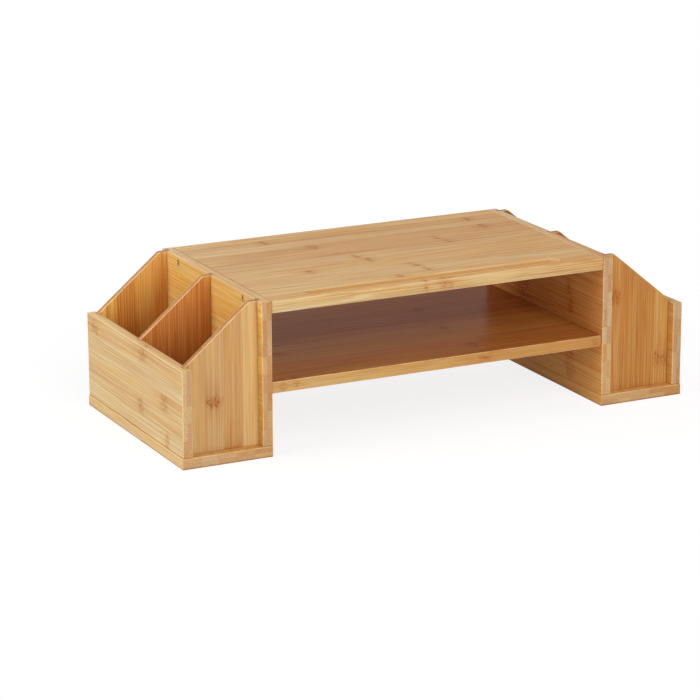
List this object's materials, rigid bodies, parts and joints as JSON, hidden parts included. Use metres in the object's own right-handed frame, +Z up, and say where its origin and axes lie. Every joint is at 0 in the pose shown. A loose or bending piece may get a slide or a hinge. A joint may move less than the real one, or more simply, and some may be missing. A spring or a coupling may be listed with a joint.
{
  "type": "monitor riser stand",
  "caption": "Bamboo monitor riser with a grooved top board over an open shelf, carried by organiser boxes at both ends with lift-out sloped dividers.",
  "frame": {"origin": "centre of the footprint on the surface that the stand rests on", "axes": "+X to the right along the width, +Y to the back, +Z up"},
  "size_m": [0.575, 0.25, 0.16],
  "materials": {
    "bamboo_board": "clear lacquered bamboo, grain along the width",
    "bamboo_base": "clear lacquered bamboo, grain front to back",
    "bamboo_panel": "clear lacquered bamboo, grain front to back",
    "bamboo_divider": "clear lacquered bamboo, grain upright",
    "zinc_screw": "zinc-plated steel, dulled"
  },
  "bodies": {
    "stand": {"top_board": "bamboo_board", "shelf_board": "bamboo_board", "left_base_plate": "bamboo_base", "left_inner_panel": "bamboo_panel", "left_outer_panel": "bamboo_panel", "right_base_plate": "bamboo_base", "right_inner_panel": "bamboo_panel", "right_outer_panel": "bamboo_panel", "left_top_screws": "zinc_screw", "left_shelf_screws": "zinc_screw", "left_base_screws": "zinc_screw", "right_top_screws": "zinc_screw", "right_shelf_screws": "zinc_screw", "right_base_screws": "zinc_screw"},
    "left_front_insert": {"left_front_divider": "bamboo_divider"},
    "left_middle_insert": {"left_middle_divider": "bamboo_divider"},
    "left_rear_insert": {"left_rear_divider": "bamboo_divider"},
    "right_front_insert": {"right_front_divider": "bamboo_divider"},
    "right_middle_insert": {"right_middle_divider": "bamboo_divider"},
    "right_rear_insert": {"right_rear_divider": "bamboo_divider"}
  },
  "joints": [
    {"name": "left_front_lift", "type": "slide", "parent": "stand", "child": "left_front_insert", "axis": [0, 0, 1], "range_m": [0, 0.15]},
    {"name": "left_middle_lift", "type": "slide", "parent": "stand", "child": "left_middle_insert", "axis": [0, 0, 1], "range_m": [0, 0.15]},
    {"name": "left_rear_lift", "type": "slide", "parent": "stand", "child": "left_rear_insert", "axis": [0, 0, 1], "range_m": [0, 0.15]},
    {"name": "right_front_lift", "type": "slide", "parent": "stand", "child": "right_front_insert", "axis": [0, 0, 1], "range_m": [0, 0.15]},
    {"name": "right_middle_lift", "type": "slide", "parent": "stand", "child": "right_middle_insert", "axis": [0, 0, 1], "range_m": [0, 0.15]},
    {"name": "right_rear_lift", "type": "slide", "parent": "stand", "child": "right_rear_insert", "axis": [0, 0, 1], "range_m": [0, 0.15]}
  ]
}
